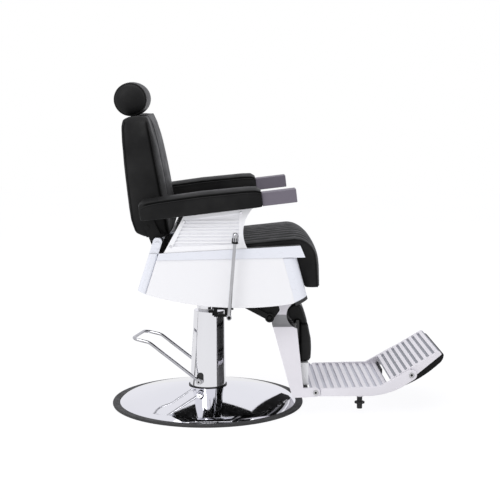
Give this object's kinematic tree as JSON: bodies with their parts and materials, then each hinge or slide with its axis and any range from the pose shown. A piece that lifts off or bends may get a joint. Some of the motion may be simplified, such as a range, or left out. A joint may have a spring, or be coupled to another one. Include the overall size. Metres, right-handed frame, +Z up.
{
  "type": "hairdressing chair",
  "caption": "Salon chair on a pump base with a round foot disc: reclining back with roll headrest, padded arms, channelled seat and a footrest that swings up with a flip plate",
  "frame": {"origin": "On the floor, under the middle of the round base, on the swivel axis", "axes": "+X towards the front of the chair, where the footrest is, +Y to the sitter's left, +Z up"},
  "size_m": [1.1231, 0.6932, 1.103],
  "materials": {
    "chrome": "mirror polished",
    "black_rubber": "satin moulded rubber",
    "steel": "bright turned steel",
    "black_steel": "black satin paint",
    "white_panel": "white gloss",
    "pale_trim": "satin anodised",
    "white_casting": "white semi-gloss paint",
    "cast_aluminium": "satin casting",
    "grey_grip": "matte moulded plastic",
    "black_board": "black painted plywood",
    "black_leather": "grained upholstery leather"
  },
  "bodies": {
    "base": {"base_plate": "chrome", "base_ring": "black_rubber", "pump_flange": "black_steel", "flange_bolts": "steel", "pump_cylinder": "black_steel", "column_cover": "chrome", "wiper_seal": "black_rubber", "lever_pivots": "steel", "lever_grommets": "black_rubber"},
    "pump_lever": {"pump_lever": "chrome"},
    "piston": {"piston_rod": "steel", "swivel_washer": "steel"},
    "seat": {"arm_boards": "black_board", "arm_pad_left": "black_leather", "arm_pad_right": "black_leather", "arm_panel_left": "white_casting", "arm_panel_right": "white_casting", "arm_screws": "chrome", "cross_tubes": "black_steel", "frame_rails": "black_steel", "front_trims": "pale_trim", "hand_grips": "grey_grip", "hinge_pins": "pale_trim", "hinge_posts": "pale_trim", "lever_bearing": "black_steel", "mount_bolts": "steel", "rear_trims": "pale_trim", "rims": "pale_trim", "seat_board": "black_board", "seat_cushion": "black_leather", "swivel_mount": "chrome", "tub_panel_left": "white_panel", "tub_panel_rear": "white_panel", "tub_panel_right": "white_panel"},
    "side_lever": {"lever_shaft": "black_steel", "lever_rod": "chrome", "lever_knob": "chrome"},
    "back": {"back_bracket_right": "black_steel", "back_bracket_left": "black_steel", "back_bolts": "black_steel", "back_board": "black_board", "back_cushion": "black_leather", "headrest_guide": "black_steel"},
    "headrest": {"headrest_post": "steel", "headrest_roll": "black_leather"},
    "link": {"link_rod": "black_steel"},
    "footrest": {"swing_shaft": "steel", "swing_arms": "black_steel", "crank_arm": "black_steel", "leg_right": "cast_aluminium", "leg_left": "cast_aluminium", "leg_bolts": "steel", "leg_bars": "steel", "calf_board": "white_panel", "calf_pad": "black_leather", "footplate": "cast_aluminium", "bumper_feet": "black_rubber", "flip_pins": "steel"},
    "flip": {"flip_plate": "cast_aluminium", "flip_pad": "black_leather"}
  },
  "joints": [
    {"name": "pump_lever_press", "type": "hinge", "parent": "base", "child": "pump_lever", "pos_m": [-0.01065, 0.00275, 0.087], "axis": [-0.2504, -0.9681, 0], "range_deg": [0, 28], "stiffness_Nm_per_rad": 3, "springref_deg": -34.38},
    {"name": "seat_lift", "type": "slide", "parent": "base", "child": "piston", "axis": [0, 0, 1], "range_m": [0, 0.15]},
    {"name": "seat_swivel", "type": "hinge", "parent": "piston", "child": "seat", "pos_m": [0, 0, 0.35], "axis": [0, 0, 1], "continuous": true},
    {"name": "side_lever_pull", "type": "hinge", "parent": "seat", "child": "side_lever", "pos_m": [0.071, -0.332, 0.361], "axis": [0, -1, 0], "range_deg": [0, 14], "stiffness_Nm_per_rad": 2, "springref_deg": -17.19},
    {"name": "back_recline", "type": "hinge", "parent": "seat", "child": "back", "pos_m": [-0.156, 0, 0.588], "axis": [0, -1, 0], "range_deg": [0, 55]},
    {"name": "headrest_slide", "type": "slide", "parent": "back", "child": "headrest", "axis": [-0.1128, 0, 0.9936], "range_m": [0, 0.11]},
    {"name": "link_turn", "type": "hinge", "parent": "back", "child": "link", "pos_m": [-0.156, -0.257, 0.539], "axis": [0, -1, 0], "range_deg": [-56, 0]},
    {"name": "footrest_swing", "type": "hinge", "parent": "seat", "child": "footrest", "pos_m": [0.185, 0, 0.437], "axis": [0, -1, 0], "range_deg": [0, 25.5]},
    {"name": "flip_turn", "type": "hinge", "parent": "footrest", "child": "flip", "pos_m": [0.68, 0, 0.135], "axis": [0, -1, 0], "range_deg": [0, 155]}
  ],
  "couplings": [
    {"joint": "link_turn", "follows": "back_recline", "ratio": -1.0129},
    {"joint": "footrest_swing", "follows": "back_recline", "ratio": 0.46}
  ]
}
